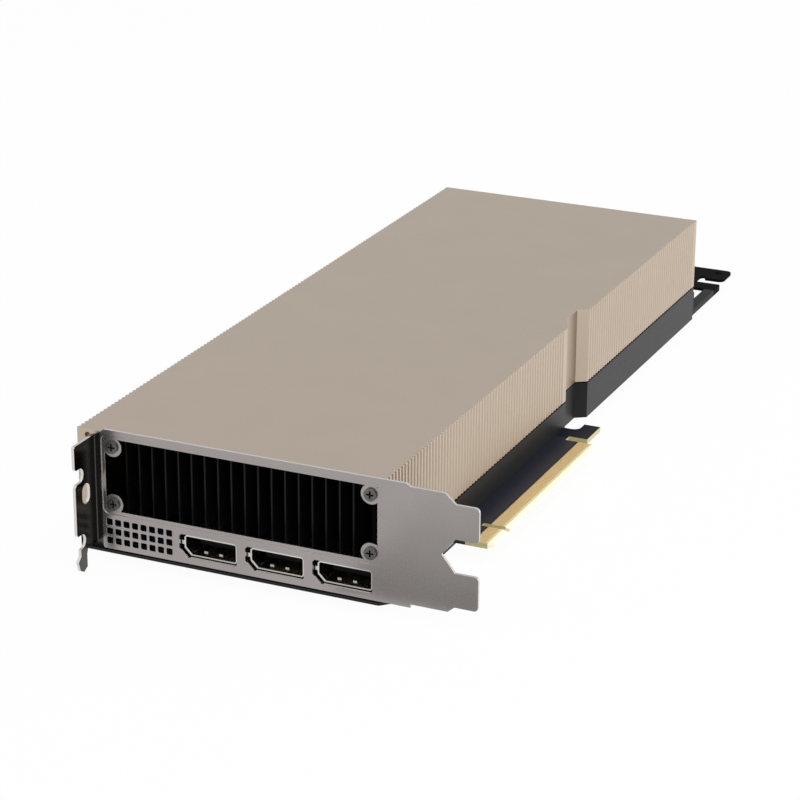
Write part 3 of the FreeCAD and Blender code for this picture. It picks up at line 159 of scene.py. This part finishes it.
def mask_where(finish, *tests):
    """Return a mask where all tests hold; a test is a value, a comparison and a limit."""
    mask = 1.0
    for value, comparison, limit in tests:
        held = add(finish["tree"], "ShaderNodeMath", {0: value, 1: limit}, operation=comparison)
        joined = add(finish["tree"], "ShaderNodeMath", {0: mask, 1: held.outputs[0]}, operation="MULTIPLY")
        mask = joined.outputs[0]
    return mask


def tint(finish, mask, colour):
    """Lay another colour over the finish where the mask is 1."""
    mixed = add(finish["tree"], "ShaderNodeMix", {
        "Factor": mask, colour_a: finish["colour"], colour_b: colour}, data_type="RGBA")
    finish["colour"] = mixed.outputs[colour_out]
    finish["tree"].links.new(finish["colour"], finish["shader"].inputs["Base Color"])


def set_sheen(finish, mask, elsewhere, there):
    """Set a coating's IOR, with another one where the mask is 1."""
    mixed = add(finish["tree"], "ShaderNodeMix", {"Factor": mask, number_a: elsewhere, number_b: there})
    finish["tree"].links.new(mixed.outputs[number_out], finish["shader"].inputs["IOR"])


# %% [markdown]
# ## The cover: bead-blasted, anodised aluminium
#
# The cover is aluminium that was blasted with fine beads, then anodised in a champagne shade. The blasting
# turns a mirror into a satin: highlights are broad and soft, with a barely visible grain of about a tenth of
# a millimetre, which is drawn a few times coarser so that it shows. The colour belongs to the metal's
# reflection, so the shader is fully metallic and the tint sits in its base colour. This studio lights the
# recess in the cover's side too well, so shade is painted on the floor of the recess, growing darker towards
# its inner corner.

# %% Champagne anodising
recess_floor_x = -0.0180
recess_floor_margin = 0.0003
recess_start_y = 0.0925
recess_end_y = 0.1003

champagne = surface("champagne_anodised_aluminium", "#BBAC9B", "#C2B2A1", 1.0, 0.42, 0.35, 0.010, edge=0.1)
place = place_of(champagne)
recess_floor = mask_where(
    champagne,
    (facing_of(champagne)["X"], "GREATER_THAN", mostly_straight),
    (place["X"], "GREATER_THAN", recess_floor_x - recess_floor_margin),
    (place["X"], "LESS_THAN", recess_floor_x + recess_floor_margin))
painted_shade_inwards = add(champagne["tree"], "ShaderNodeMapRange", {
    "Value": place["Y"], "From Min": recess_start_y, "From Max": recess_end_y, "To Min": 0.2, "To Max": 0.75})
corner = add(champagne["tree"], "ShaderNodeMath", {
    0: recess_floor, 1: painted_shade_inwards.outputs["Result"]}, operation="MULTIPLY")
# painted shade: the recess floor is darkened towards its inner corner
tint(champagne, corner.outputs[0], linear("#6E5D4E"))
dress(champagne, "heatsink_cover")

# %% [markdown]
# ## The bracket: nickel-plated steel
#
# The bracket is punched from steel sheet and plated with bright nickel over the rolled surface. It is a dull
# mirror: it shows what stands in front of it, slightly blurred. A punch leaves a smooth band on the edges
# that it cuts, and a painted highlight is laid over that band, so the edges are brighter than the faces. The
# folded flange mirrors a side of the studio that is too bright here, so a darker reflection is painted on it.
# The model's X tells the flange from the flat, and the normal tells an edge from a face. The bend itself
# turns through every direction, so it is left out of the flange's edges.

# %% Nickel plating
flange_x = -0.1030
bend_y = -0.0590

nickel = surface("nickel_plated_steel", "#98928F", "#A5A09E", 1.0, 0.26, 0.5, 0.0006, edge=0.15)
place = place_of(nickel)
facing = facing_of(nickel)
face_of_flat = add(nickel["tree"], "ShaderNodeMath", {0: facing["Y"]}, operation="ABSOLUTE").outputs[0]
face_of_flange = add(nickel["tree"], "ShaderNodeMath", {0: facing["X"]}, operation="ABSOLUTE").outputs[0]
flange = mask_where(nickel, (place["X"], "LESS_THAN", flange_x))
edges_of_flat = mask_where(
    nickel, (place["X"], "GREATER_THAN", flange_x), (face_of_flat, "LESS_THAN", half_turned))
edges_of_flange = mask_where(
    nickel, (place["X"], "LESS_THAN", flange_x), (place["Y"], "LESS_THAN", bend_y),
    (face_of_flange, "LESS_THAN", half_turned))
# painted reflection: the flange is darkened
tint(nickel, flange, linear("#4C4947"))
# painted highlight over the smooth band of the cut edges
for edge_band_and_highlight in (edges_of_flat, edges_of_flange):
    tint(nickel, edge_band_and_highlight, linear("#D5D1CD"))
dress(nickel, "io_bracket")

# %% [markdown]
# ## Screws and spring plate: plated and rolled steel
#
# The screws are steel under a thin coat of zinc, which gives a soft grey gloss with bright, rounded edges.
# Shade is painted on the floor of the cross recess in the bracket's screws, which is told from the top of the
# head by its place. The mask was made for those four: on the retainer's screws, which point another way, it
# paints the same shade on the sides that look forward instead. The plate that holds the processor's heat sink
# from below is spring steel as it comes from the rolls.

# %% Plated screws and spring steel
behind_head_top_y = -0.05735

screw_steel = surface("zinc_plated_screw_steel", "#5E5C5A", "#6B6967", 1.0, 0.28, 0.3, 0.004, edge=0.22)
painted_drive_shade = mask_where(
    screw_steel,
    (facing_of(screw_steel)["Y"], "LESS_THAN", -half_turned),
    (place_of(screw_steel)["Y"], "GREATER_THAN", behind_head_top_y))
# painted shade in the screws' cross recess
tint(screw_steel, painted_drive_shade, linear("#161514"))
dress(screw_steel, "bracket_screws", "retainer_screws")
spring_steel = surface("rolled_spring_steel", "#8B8C8E", "#97989A", 1.0, 0.32, 0.4, 0.01)
dress(spring_steel, "retainer_plate")

# %% [markdown]
# ## The frame, the backplate and the extender: black coatings
#
# The frame is cast aluminium and the backplate is aluminium sheet, both coated in a satin black. The extender
# is sheet steel with a coarser powder coat. A coating isn't a metal to light, so these are dielectric: a dark
# body colour under a soft grey sheen that grows at grazing angles, and that a low IOR makes weak. Two places
# come out too bright in this studio: the frame behind the bracket's window, and the rear end of the extender.
# There a still lower IOR turns the sheen down, as painted shade.

# %% Black coatings
behind_bracket_y = -0.050
above_sockets_z = 0.008
extender_end_y = 0.2335

black_coat = surface("satin_black_coating", "#070708", "#0B0B0C", 0.0, 0.42, 0.3, 0.02, edge=0.25)
place = place_of(black_coat)
behind_window = mask_where(
    black_coat, (place["Y"], "LESS_THAN", behind_bracket_y), (place["Z"], "GREATER_THAN", above_sockets_z))
# painted shade: less sheen on the frame behind the bracket's window
set_sheen(black_coat, behind_window, elsewhere=1.34, there=1.04)
dress(black_coat, "mid_frame", "backplate")
powder_coat = surface("black_powder_coat", "#0B0B0C", "#161617", 0.0, 0.5, 0.5, 0.04, edge=0.2, cloud=5.0)
rear_end = mask_where(powder_coat, (place_of(powder_coat)["Y"], "GREATER_THAN", extender_end_y))
# painted shade: less sheen at the extender's rear end
set_sheen(powder_coat, rear_end, elsewhere=1.23, there=1.05)
dress(powder_coat, "rear_extender")
black_screw = surface("black_oxide_steel", "#1B1B1D", "#242426", 0.6, 0.38, 0.3, 0.01, edge=0.1)
dress(black_screw, "backplate_screws", "extender_screws")

# %% [markdown]
# ## The fins: dark anodised aluminium
#
# The fins are thin sheet with a black anodising. Light hardly reaches between them, so only their front edges
# show, as faint lines. Their IOR is set low, to keep those lines faint.

# %% Dark fins
dark_fins = surface("dark_anodised_fins", "#090A0B", "#0D0E10", 0.0, 0.5, 0.3, 0.01, edge=0.05)
dark_fins["shader"].inputs["IOR"].default_value = 1.3
dress(dark_fins, "fin_stack")

# %% [markdown]
# ## The board: solder mask over copper, with raw cut edges
#
# A circuit board is glass cloth in epoxy, which is pale yellow where it is cut. Its faces carry copper traces
# under a coloured lacquer, the solder mask, here a navy that is almost black. The cut edges can be told from
# the faces by their normals, which lie flat, and the bevelled lip of the connector by its place: the model's
# X is zero at the leading edge. The lacquer stops short of that edge on the connector's tab, but runs down
# the tab's front side. On the hook beside the tab its sheen is turned down.

# %% Board laminate
tab_root_x = -0.0135
lacquered_side_x = -0.0085
lacquer_end_x = -0.0060
bevel_x = -0.00155
hook_y = 0.0745
weave_mm = 0.4

lacquer = surface("navy_solder_mask", "#0C101C", "#121728", 0.0, 0.36, 0.6, 0.02, edge=0.05, cloud=6.0)
tree = lacquer["tree"]
place = place_of(lacquer)
facing = facing_of(lacquer)
level = add(tree, "ShaderNodeMath", {0: facing["Z"]}, operation="ABSOLUTE").outputs[0]
cut_edge = mask_where(
    lacquer, (level, "LESS_THAN", nearly_straight), (place["X"], "GREATER_THAN", tab_root_x))
front_side = mask_where(
    lacquer, (facing["Y"], "LESS_THAN", -half_turned), (place["Y"], "LESS_THAN", 0.0),
    (place["X"], "LESS_THAN", lacquered_side_x))
raw_edge = add(tree, "ShaderNodeMath", {
    0: cut_edge, 1: front_side}, operation="SUBTRACT", use_clamp=True).outputs[0]
bare_tab = mask_where(lacquer, (place["X"], "GREATER_THAN", lacquer_end_x), (place["Y"], "LESS_THAN", hook_y))

weave = add(tree, "ShaderNodeTexNoise", {"Vector": lacquer["where"], "Scale": 1000 / weave_mm, "Detail": 2.0})
laminate = add(tree, "ShaderNodeMix", {
    "Factor": weave.outputs["Fac"],
    colour_a: linear("#B3AB7C"), colour_b: linear("#C6BF92")}, data_type="RGBA")
bevel = mask_where(lacquer, (place["X"], "GREATER_THAN", bevel_x))
bare_board = add(tree, "ShaderNodeMix", {
    "Factor": bevel,
    colour_a: laminate.outputs[colour_out], colour_b: linear("#F2EED6")}, data_type="RGBA")
for bare in (raw_edge, bare_tab):
    tint(lacquer, bare, bare_board.outputs[colour_out])
hook = mask_where(lacquer, (place["Y"], "GREATER_THAN", hook_y))
set_sheen(lacquer, hook, elsewhere=1.4, there=1.2)
dress(lacquer, "circuit_board")

# %% [markdown]
# ## Gold contacts
#
# The contact fingers are copper plated with nickel and hard gold. Gold is a metal whose colour
# comes from its reflection: orange-yellow, with a soft gloss from the copper's grain below. The
# roots of the edge fingers lie under the solder mask, and their tips are ground off with the
# bevel, so the metal shows on the stretch between.

# %% Hard gold plating
ground_tip_x = -0.0023

gold = surface("hard_gold_plating", "#E2C593", "#ECD3A6", 1.0, 0.55, 0.3, 0.006, edge=0.03)
dress(gold, "display_contacts_1", "display_contacts_2", "display_contacts_3")

fingers = surface("hard_gold_fingers", "#E2C593", "#ECD3A6", 1.0, 0.55, 0.3, 0.006, edge=0.03)
across = place_of(fingers)["X"]
root = mask_where(fingers, (across, "LESS_THAN", lacquer_end_x))
tip = mask_where(fingers, (across, "GREATER_THAN", ground_tip_x))
metal = mask_where(
    fingers, (across, "GREATER_THAN", lacquer_end_x), (across, "LESS_THAN", ground_tip_x))
tint(fingers, root, linear("#0F1322"))
tint(fingers, tip, linear("#E6DDAE"))
fingers["tree"].links.new(metal, fingers["shader"].inputs["Metallic"])
dress(fingers, "edge_contacts_top", "edge_contacts_bottom")

# %% [markdown]
# ## The sockets
#
# Each display socket is a shell of folded steel, plated bright, round an insert moulded in black
# nylon. The power socket is the same nylon, with tinned brass pins. Nylon's own IOR is about 1.5,
# but it is set lower here, because too much of the studio's white gets into the sockets.

# %% Socket shells, nylon and pins
bright_shell = surface("bright_nickel_shell", "#C6C4BF", "#D3D1CC", 1.0, 0.2, 0.4, 0.006, edge=0.08)
dress(bright_shell, "display_shell_1", "display_shell_2", "display_shell_3")
nylon = surface("moulded_black_nylon", "#060607", "#0A0A0B", 0.0, 0.6, 0.25, 0.02, edge=0.1)
nylon["shader"].inputs["IOR"].default_value = 1.2
dress(nylon, "display_insert_1", "display_insert_2", "display_insert_3", "power_socket")
tinned = surface("tinned_brass", "#B7B3A5", "#C4C0B2", 1.0, 0.3, 0.3, 0.01, edge=0.05)
dress(tinned, "power_pins")

# %% [markdown]
# ## What sits on the board, under the heat sink
#
# These parts are hidden once the card is built, but they are modelled, so they get their own
# finishes: glassy silicon, black moulding compound, pressed iron powder, moulded capacitors, a
# dark green laminate carrier and soft grey heat pads.

# %% Hidden parts
silicon = surface("polished_silicon", "#2E3138", "#393D45", 0.4, 0.12, 1.0, 0.002)
dress(silicon, "processor_die")
compound = surface("epoxy_moulding_compound", "#161617", "#1D1D1E", 0.0, 0.6, 0.15, 0.02)
dress(compound, "memory_chips", "power_stages_front", "power_stages_rear")
ferrite = surface("pressed_iron_powder", "#3A3B3D", "#4A4B4D", 0.2, 0.7, 0.2, 0.05)
dress(ferrite, "chokes_front", "chokes_rear")
tantalum = surface("moulded_tantalum_case", "#2A2621", "#34302A", 0.0, 0.5, 0.2, 0.02)
dress(tantalum, "capacitors_front", "capacitors_rear")
carrier = surface("green_chip_carrier", "#12301F", "#183A27", 0.0, 0.4, 0.5, 0.01)
dress(carrier, "processor_carrier")
heat_pad = surface("silicone_heat_pad", "#8C939B", "#9AA1A8", 0.0, 0.8, 0.3, 0.05)
dress(heat_pad, "memory_pads", "choke_pad_front", "choke_pad_rear")

# %% [markdown]
# ## Floor and walls
#
# The card stands on a plain pale floor in a white studio. The floor takes the card's shadow, and
# most of what the camera sees of it is an even white, so that floor and background join. The
# noise on the paper runs from 0 to 1 over the whole floor, so its scale is worked out from the
# floor's width and from the size of one cloud in the paper.

# %% White floor and walls
floor_z = cad_box[0][2]
floor_reach = 6.0
paper_cloud_mm = 24.0


def white_for_the_eye(tree, rest, share):
    """Mix an even white into a shader for the rays that the eye, a mirror or glass sends out."""
    path = add(tree, "ShaderNodeLightPath").outputs
    seen = path["Is Camera Ray"]
    for kind_of_ray in ("Is Glossy Ray", "Is Transmission Ray"):
        seen = add(tree, "ShaderNodeMath", {0: seen, 1: path[kind_of_ray]}, operation="MAXIMUM").outputs[0]
    amount = add(tree, "ShaderNodeMath", {0: seen, 1: share}, operation="MULTIPLY")
    white = add(tree, "ShaderNodeEmission", {"Color": linear("#FFFFFF"), "Strength": 1.0})
    return add(tree, "ShaderNodeMixShader", {
        0: amount.outputs[0], 1: rest, 2: white.outputs["Emission"]}).outputs["Shader"]


def stage_plane(name, height, reach):
    """Lay a square plane round the origin."""
    mesh = bpy.data.meshes.new(name)
    form = bmesh.new()
    bmesh.ops.create_grid(form, x_segments=1, y_segments=1, size=reach)
    bmesh.ops.translate(form, verts=form.verts, vec=(0, 0, height))
    form.to_mesh(mesh)
    form.free()
    plane = bpy.data.objects.new(name, mesh)
    bpy.context.collection.objects.link(plane)
    return plane


floor = stage_plane("studio_floor", floor_z, floor_reach)
paper = bpy.data.materials.new("matt_white_paper")
paper.use_nodes = True
tree = paper.node_tree
paper_clouds = add(tree, "ShaderNodeTexNoise", {"Scale": 2000 * floor_reach / paper_cloud_mm})
pale = add(tree, "ShaderNodeMix", {
    "Factor": paper_clouds.outputs["Fac"],
    colour_a: linear("#E6E6E6"), colour_b: linear("#EEEEEE")}, data_type="RGBA")
matt = add(tree, "ShaderNodeBsdfDiffuse", {"Color": pale.outputs[colour_out]})
floor_shader = white_for_the_eye(tree, matt.outputs["BSDF"], share=0.96)
tree.links.new(floor_shader, tree.nodes["Material Output"].inputs["Surface"])
floor.data.materials.append(paper)
print("floor at", round(1000 * floor_z, 2), "mm")

world = bpy.data.worlds.new("white_studio")
bpy.context.scene.world = world
world.use_nodes = True
tree = world.node_tree
dim = add(tree, "ShaderNodeBackground", {"Color": linear("#FFFFFF"), "Strength": 0.55})
world_shader = white_for_the_eye(tree, dim.outputs["Background"], share=1.0)
tree.links.new(world_shader, tree.nodes["World Output"].inputs["Surface"])

# %% [markdown]
# ## What the metal mirrors
#
# In an all-white studio polished metal turns white, so darker reflections are painted in with sheets that
# only the metal sees. A grey screen behind the card holds the cover's top back, with one soft fold over its
# width, and a dark sheet on the floor before the bracket lays a painted shade on its tongues. It gets darker
# towards the card. Both glow by themselves and are hidden from all rays but reflected ones, so that they
# neither show nor cast a shadow.

# %% Sheets that only reflections see
screen_reach = 3.0
above_floor = 0.0004


def mirrored_sheet(name, cloth_name, reach, location, tilt=0.0):
    """Make a glowing sheet that only reflections see; return its node tree and its glow."""
    sheet = stage_plane(name, 0.0, reach)
    sheet.location = location
    sheet.rotation_euler = (tilt, 0.0, 0.0)
    for rays in ("camera", "diffuse", "transmission", "shadow"):
        setattr(sheet, "visible_" + rays, False)
    cloth = bpy.data.materials.new(cloth_name)
    cloth.use_nodes = True
    tree = cloth.node_tree
    glow = add(tree, "ShaderNodeEmission", {"Strength": 1.0})
    tree.links.new(glow.outputs["Emission"], tree.nodes["Material Output"].inputs["Surface"])
    sheet.data.materials.append(cloth)
    print(name, "is seen by reflections only")
    return tree, glow


# painted reflection: a glowing grey screen that only the metal sees
tree, glow = mirrored_sheet(
    "painted_reflection_screen", "painted_reflection_screen_glow", reach=screen_reach,
    location=(-1.5, 2.5, floor_z + screen_reach), tilt=math.pi / 2)
folds = add(tree, "ShaderNodeTexNoise", {"Scale": 1.0})
greys = add(tree, "ShaderNodeMix", {
    "Factor": folds.outputs["Fac"],
    colour_a: (0.68, 0.71, 0.73, 1.0), colour_b: (0.80, 0.82, 0.84, 1.0)}, data_type="RGBA")
tree.links.new(greys.outputs[colour_out], glow.inputs["Color"])

# painted shade: a glowing dark sheet, seen only in the bracket's reflection
tree, glow = mirrored_sheet(
    "painted_shade_sheet", "fading_painted_shade_sheet", reach=0.04, location=(0.005, -0.108, floor_z + above_floor))
where = add(tree, "ShaderNodeTexCoord").outputs["Object"]
towards_card = add(tree, "ShaderNodeSeparateXYZ", {"Vector": where}).outputs["Y"]
fading = add(tree, "ShaderNodeMapRange", {
    "Value": towards_card, "From Min": -0.03, "From Max": 0.035, "To Min": 0.92, "To Max": 0.5})
tree.links.new(fading.outputs["Result"], glow.inputs["Strength"])

# %% [markdown]
# ## Lamps
#
# A large soft lamp above and before the bracket, and a smaller one low at the right, keep the
# light at a plain level. The one at the right brings out the flutes on the cover's side.

# %% Soft lamps
def soft_lamp(name, place, aim, width, power):
    """Hang a square lamp and turn it to a point."""
    data = bpy.data.lights.new(name, "AREA")
    data.size = width
    data.energy = power
    lamp = bpy.data.objects.new(name, data)
    lamp.location = place
    lamp.rotation_euler = (Vector(aim) - Vector(place)).to_track_quat("-Z", "Y").to_euler()
    bpy.context.collection.objects.link(lamp)
    print(name, "gives", power, "W")


middle_of_card = (-0.04, 0.08, 0)
soft_lamp("lamp_above", (0.25, -0.35, 0.9), middle_of_card, width=0.9, power=6.0)
soft_lamp("lamp_right", (1.0, 0.5, 0.22), middle_of_card, width=0.6, power=9.0)

# %% [markdown]
# ## Camera
#
# The camera stands to the right of the bracket and looks along the card with a long lens, which
# keeps the card's long sides nearly parallel. It is set by its place, two angles and a roll.

# %% Camera
camera_place = (0.2738, -0.6854, 0.3226)
azimuth = math.radians(24.41)
elevation = math.radians(21.09)
roll = math.radians(0.26)
lens = bpy.data.cameras.new("camera")
lens.sensor_width = 36.0
lens.lens = 123.87
lens.shift_x = 0.0084
lens.shift_y = 0.0079
lens.clip_end = 50.0
camera = bpy.data.objects.new("camera", lens)
camera.matrix_world = (
    Matrix.Translation(camera_place)
    @ Matrix.Rotation(azimuth, 4, "Z")
    @ Matrix.Rotation(math.pi / 2 - elevation, 4, "X")
    @ Matrix.Rotation(roll, 4, "Z"))
bpy.context.collection.objects.link(camera)
bpy.context.scene.camera = camera
bpy.context.scene.view_settings.view_transform = "Standard"
print("camera distance in m:", round((camera.location - Vector(middle_of_card)).length, 3))
